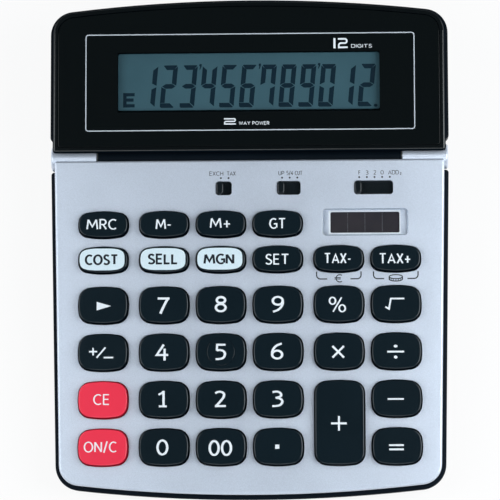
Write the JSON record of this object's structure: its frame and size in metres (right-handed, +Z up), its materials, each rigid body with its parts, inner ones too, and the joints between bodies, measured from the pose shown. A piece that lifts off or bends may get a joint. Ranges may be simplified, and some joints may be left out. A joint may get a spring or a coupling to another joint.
{
  "type": "desk calculator",
  "caption": "Wedge-shaped desk calculator with a silver key deck, rounded black and red keys, slide switches, a solar window and a black display head that tilts on a rear hinge.",
  "frame": {"origin": "on the desk under the middle of the overall outline", "axes": "+X to the user's right, +Y away from the user towards the display, +Z up"},
  "size_m": [0.1482, 0.185, 0.042],
  "materials": {
    "silver_plastic": "fine metallic silver paint",
    "black_case": "satin black",
    "black_key": "satin blue-black",
    "red_key": "satin red",
    "head_black": "semi-gloss black",
    "clear_plastic": "clear polished",
    "display_glass": "grey-green display",
    "silicone": "translucent grey silicone",
    "board": "green solder mask",
    "epoxy": "black epoxy",
    "switch_plastic": "black nylon",
    "solar_glass": "dark amorphous cell",
    "steel": "zinc plated",
    "cell_steel": "nickel plated",
    "rubber": "matte black",
    "nylon": "natural nylon",
    "ribbon_film": "amber film",
    "holder_plastic": "natural white",
    "white_ink": "white printed ink",
    "dark_ink": "dark printed ink",
    "display_ink": "dark display segments"
  },
  "bodies": {
    "body": {"battery_contacts": "cell_steel", "battery_cover": "black_case", "battery_cover_screw": "steel", "board_screws": "steel", "button_cell": "cell_steel", "case_screws": "steel", "chip_cover": "epoxy", "display_ribbon": "ribbon_film", "friction_washers": "nylon", "hinge_pins": "steel", "key_mat": "silicone", "lower_case": "black_case", "main_board": "board", "rubber_feet": "rubber", "solar_cell": "solar_glass", "solar_window": "clear_plastic", "switch_bodies": "switch_plastic", "upper_case": "silver_plastic"},
    "display_head": {"display_bezel": "head_black", "display_rear_cover": "head_black", "display_window": "clear_plastic", "lcd_panel": "display_glass", "lcd_holder": "holder_plastic", "head_screws": "steel"},
    "slider_mode_knob": {"slider_mode": "switch_plastic"},
    "slider_round_knob": {"slider_round": "switch_plastic"},
    "slider_decimal_knob": {"slider_decimal": "switch_plastic"},
    "key_mrc_cap": {"key_mrc": "black_key"},
    "key_m_minus_cap": {"key_m_minus": "black_key"},
    "key_m_plus_cap": {"key_m_plus": "black_key"},
    "key_gt_cap": {"key_gt": "black_key"},
    "key_cost_cap": {"key_cost": "black_key"},
    "key_sell_cap": {"key_sell": "black_key"},
    "key_mgn_cap": {"key_mgn": "black_key"},
    "key_set_cap": {"key_set": "black_key"},
    "key_tax_minus_cap": {"key_tax_minus": "black_key"},
    "key_tax_plus_cap": {"key_tax_plus": "black_key"},
    "key_shift_cap": {"key_shift": "black_key"},
    "key_7_cap": {"key_7": "black_key"},
    "key_8_cap": {"key_8": "black_key"},
    "key_9_cap": {"key_9": "black_key"},
    "key_percent_cap": {"key_percent": "black_key"},
    "key_root_cap": {"key_root": "black_key"},
    "key_sign_cap": {"key_sign": "black_key"},
    "key_4_cap": {"key_4": "black_key"},
    "key_5_cap": {"key_5": "black_key"},
    "key_6_cap": {"key_6": "black_key"},
    "key_times_cap": {"key_times": "black_key"},
    "key_divide_cap": {"key_divide": "black_key"},
    "key_ce_cap": {"key_ce": "red_key"},
    "key_1_cap": {"key_1": "black_key"},
    "key_2_cap": {"key_2": "black_key"},
    "key_3_cap": {"key_3": "black_key"},
    "key_plus_cap": {"key_plus": "black_key"},
    "key_minus_cap": {"key_minus": "black_key"},
    "key_on_cap": {"key_on": "red_key"},
    "key_0_cap": {"key_0": "black_key"},
    "key_00_cap": {"key_00": "black_key"},
    "key_point_cap": {"key_point": "black_key"},
    "key_equals_cap": {"key_equals": "black_key"}
  },
  "joints": [
    {"name": "display_tilt", "type": "hinge", "parent": "body", "child": "display_head", "pos_m": [0, 0.03352, 0.0259], "axis": [1, 0, 0], "range_deg": [0, 40], "deforming": ["display_ribbon"]},
    {"name": "slider_mode_slide", "type": "slide", "parent": "body", "child": "slider_mode_knob", "axis": [1, 0, 0], "range_m": [0, 0.00283]},
    {"name": "slider_round_slide", "type": "slide", "parent": "body", "child": "slider_round_knob", "axis": [1, 0, 0], "range_m": [0, 0.00566]},
    {"name": "slider_decimal_slide", "type": "slide", "parent": "body", "child": "slider_decimal_knob", "axis": [1, 0, 0], "range_m": [0, 0.01132]},
    {"name": "key_mrc_press", "type": "slide", "parent": "body", "child": "key_mrc_cap", "axis": [0, 0.1219, -0.9925], "range_m": [0, 0.0016], "stiffness_N_per_m": 300, "springref_m": -0.001, "deforming": ["key_mat"]},
    {"name": "key_m_minus_press", "type": "slide", "parent": "body", "child": "key_m_minus_cap", "axis": [0, 0.1219, -0.9925], "range_m": [0, 0.0016], "stiffness_N_per_m": 300, "springref_m": -0.001, "deforming": ["key_mat"]},
    {"name": "key_m_plus_press", "type": "slide", "parent": "body", "child": "key_m_plus_cap", "axis": [0, 0.1219, -0.9925], "range_m": [0, 0.0016], "stiffness_N_per_m": 300, "springref_m": -0.001, "deforming": ["key_mat"]},
    {"name": "key_gt_press", "type": "slide", "parent": "body", "child": "key_gt_cap", "axis": [0, 0.1219, -0.9925], "range_m": [0, 0.0016], "stiffness_N_per_m": 300, "springref_m": -0.001, "deforming": ["key_mat"]},
    {"name": "key_cost_press", "type": "slide", "parent": "body", "child": "key_cost_cap", "axis": [0, 0.1219, -0.9925], "range_m": [0, 0.0016], "stiffness_N_per_m": 300, "springref_m": -0.001, "deforming": ["key_mat"]},
    {"name": "key_sell_press", "type": "slide", "parent": "body", "child": "key_sell_cap", "axis": [0, 0.1219, -0.9925], "range_m": [0, 0.0016], "stiffness_N_per_m": 300, "springref_m": -0.001, "deforming": ["key_mat"]},
    {"name": "key_mgn_press", "type": "slide", "parent": "body", "child": "key_mgn_cap", "axis": [0, 0.1219, -0.9925], "range_m": [0, 0.0016], "stiffness_N_per_m": 300, "springref_m": -0.001, "deforming": ["key_mat"]},
    {"name": "key_set_press", "type": "slide", "parent": "body", "child": "key_set_cap", "axis": [0, 0.1219, -0.9925], "range_m": [0, 0.0016], "stiffness_N_per_m": 300, "springref_m": -0.001, "deforming": ["key_mat"]},
    {"name": "key_tax_minus_press", "type": "slide", "parent": "body", "child": "key_tax_minus_cap", "axis": [0, 0.1219, -0.9925], "range_m": [0, 0.0016], "stiffness_N_per_m": 300, "springref_m": -0.001, "deforming": ["key_mat"]},
    {"name": "key_tax_plus_press", "type": "slide", "parent": "body", "child": "key_tax_plus_cap", "axis": [0, 0.1219, -0.9925], "range_m": [0, 0.0016], "stiffness_N_per_m": 300, "springref_m": -0.001, "deforming": ["key_mat"]},
    {"name": "key_shift_press", "type": "slide", "parent": "body", "child": "key_shift_cap", "axis": [0, 0.1219, -0.9925], "range_m": [0, 0.0016], "stiffness_N_per_m": 300, "springref_m": -0.001, "deforming": ["key_mat"]},
    {"name": "key_7_press", "type": "slide", "parent": "body", "child": "key_7_cap", "axis": [0, 0.1219, -0.9925], "range_m": [0, 0.0016], "stiffness_N_per_m": 300, "springref_m": -0.001, "deforming": ["key_mat"]},
    {"name": "key_8_press", "type": "slide", "parent": "body", "child": "key_8_cap", "axis": [0, 0.1219, -0.9925], "range_m": [0, 0.0016], "stiffness_N_per_m": 300, "springref_m": -0.001, "deforming": ["key_mat"]},
    {"name": "key_9_press", "type": "slide", "parent": "body", "child": "key_9_cap", "axis": [0, 0.1219, -0.9925], "range_m": [0, 0.0016], "stiffness_N_per_m": 300, "springref_m": -0.001, "deforming": ["key_mat"]},
    {"name": "key_percent_press", "type": "slide", "parent": "body", "child": "key_percent_cap", "axis": [0, 0.1219, -0.9925], "range_m": [0, 0.0016], "stiffness_N_per_m": 300, "springref_m": -0.001, "deforming": ["key_mat"]},
    {"name": "key_root_press", "type": "slide", "parent": "body", "child": "key_root_cap", "axis": [0, 0.1219, -0.9925], "range_m": [0, 0.0016], "stiffness_N_per_m": 300, "springref_m": -0.001, "deforming": ["key_mat"]},
    {"name": "key_sign_press", "type": "slide", "parent": "body", "child": "key_sign_cap", "axis": [0, 0.1219, -0.9925], "range_m": [0, 0.0016], "stiffness_N_per_m": 300, "springref_m": -0.001, "deforming": ["key_mat"]},
    {"name": "key_4_press", "type": "slide", "parent": "body", "child": "key_4_cap", "axis": [0, 0.1219, -0.9925], "range_m": [0, 0.0016], "stiffness_N_per_m": 300, "springref_m": -0.001, "deforming": ["key_mat"]},
    {"name": "key_5_press", "type": "slide", "parent": "body", "child": "key_5_cap", "axis": [0, 0.1219, -0.9925], "range_m": [0, 0.0016], "stiffness_N_per_m": 300, "springref_m": -0.001, "deforming": ["key_mat"]},
    {"name": "key_6_press", "type": "slide", "parent": "body", "child": "key_6_cap", "axis": [0, 0.1219, -0.9925], "range_m": [0, 0.0016], "stiffness_N_per_m": 300, "springref_m": -0.001, "deforming": ["key_mat"]},
    {"name": "key_times_press", "type": "slide", "parent": "body", "child": "key_times_cap", "axis": [0, 0.1219, -0.9925], "range_m": [0, 0.0016], "stiffness_N_per_m": 300, "springref_m": -0.001, "deforming": ["key_mat"]},
    {"name": "key_divide_press", "type": "slide", "parent": "body", "child": "key_divide_cap", "axis": [0, 0.1219, -0.9925], "range_m": [0, 0.0016], "stiffness_N_per_m": 300, "springref_m": -0.001, "deforming": ["key_mat"]},
    {"name": "key_ce_press", "type": "slide", "parent": "body", "child": "key_ce_cap", "axis": [0, 0.1219, -0.9925], "range_m": [0, 0.0016], "stiffness_N_per_m": 300, "springref_m": -0.001, "deforming": ["key_mat"]},
    {"name": "key_1_press", "type": "slide", "parent": "body", "child": "key_1_cap", "axis": [0, 0.1219, -0.9925], "range_m": [0, 0.0016], "stiffness_N_per_m": 300, "springref_m": -0.001, "deforming": ["key_mat"]},
    {"name": "key_2_press", "type": "slide", "parent": "body", "child": "key_2_cap", "axis": [0, 0.1219, -0.9925], "range_m": [0, 0.0016], "stiffness_N_per_m": 300, "springref_m": -0.001, "deforming": ["key_mat"]},
    {"name": "key_3_press", "type": "slide", "parent": "body", "child": "key_3_cap", "axis": [0, 0.1219, -0.9925], "range_m": [0, 0.0016], "stiffness_N_per_m": 300, "springref_m": -0.001, "deforming": ["key_mat"]},
    {"name": "key_plus_press", "type": "slide", "parent": "body", "child": "key_plus_cap", "axis": [0, 0.1219, -0.9925], "range_m": [0, 0.0016], "stiffness_N_per_m": 300, "springref_m": -0.001, "deforming": ["key_mat"]},
    {"name": "key_minus_press", "type": "slide", "parent": "body", "child": "key_minus_cap", "axis": [0, 0.1219, -0.9925], "range_m": [0, 0.0016], "stiffness_N_per_m": 300, "springref_m": -0.001, "deforming": ["key_mat"]},
    {"name": "key_on_press", "type": "slide", "parent": "body", "child": "key_on_cap", "axis": [0, 0.1219, -0.9925], "range_m": [0, 0.0016], "stiffness_N_per_m": 300, "springref_m": -0.001, "deforming": ["key_mat"]},
    {"name": "key_0_press", "type": "slide", "parent": "body", "child": "key_0_cap", "axis": [0, 0.1219, -0.9925], "range_m": [0, 0.0016], "stiffness_N_per_m": 300, "springref_m": -0.001, "deforming": ["key_mat"]},
    {"name": "key_00_press", "type": "slide", "parent": "body", "child": "key_00_cap", "axis": [0, 0.1219, -0.9925], "range_m": [0, 0.0016], "stiffness_N_per_m": 300, "springref_m": -0.001, "deforming": ["key_mat"]},
    {"name": "key_point_press", "type": "slide", "parent": "body", "child": "key_point_cap", "axis": [0, 0.1219, -0.9925], "range_m": [0, 0.0016], "stiffness_N_per_m": 300, "springref_m": -0.001, "deforming": ["key_mat"]},
    {"name": "key_equals_press", "type": "slide", "parent": "body", "child": "key_equals_cap", "axis": [0, 0.1219, -0.9925], "range_m": [0, 0.0016], "stiffness_N_per_m": 300, "springref_m": -0.001, "deforming": ["key_mat"]}
  ]
}
